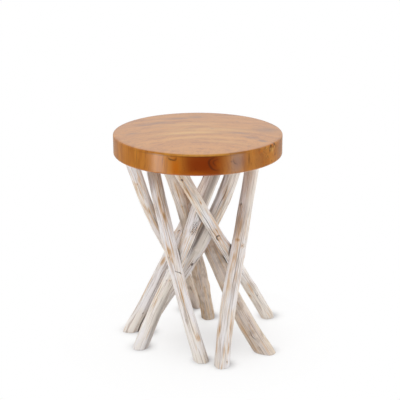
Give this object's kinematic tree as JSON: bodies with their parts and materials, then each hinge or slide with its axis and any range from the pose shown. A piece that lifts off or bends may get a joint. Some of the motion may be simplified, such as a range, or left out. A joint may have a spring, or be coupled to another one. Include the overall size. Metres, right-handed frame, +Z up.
{
  "type": "side table",
  "caption": "Round side table: a thick round wooden slab carried by a sheaf of crossing, whitewashed branch legs that lean on each other and are pegged where they meet.",
  "frame": {"origin": "on the floor, under the middle of the round slab", "axes": "+Z up, +X to the right and -Y towards the viewer as the table is pictured"},
  "size_m": [0.4, 0.4, 0.52],
  "materials": {
    "teak_slab": "oiled, satin",
    "whitewashed_branch": "limed white over weathered wood, rubbed through in streaks",
    "peg_wood": "bare, whittled"
  },
  "bodies": {
    "root": {"slab": "teak_slab", "back_right_leg": "whitewashed_branch", "front_left_leg": "whitewashed_branch", "front_leg": "whitewashed_branch", "inner_left_leg": "whitewashed_branch", "inner_back_leg": "whitewashed_branch", "left_leg": "whitewashed_branch", "right_leg": "whitewashed_branch", "back_leg": "whitewashed_branch", "back_left_leg": "whitewashed_branch", "front_right_leg": "whitewashed_branch", "crossing_pegs": "peg_wood", "top_pegs": "peg_wood"}
  },
  "joints": []
}
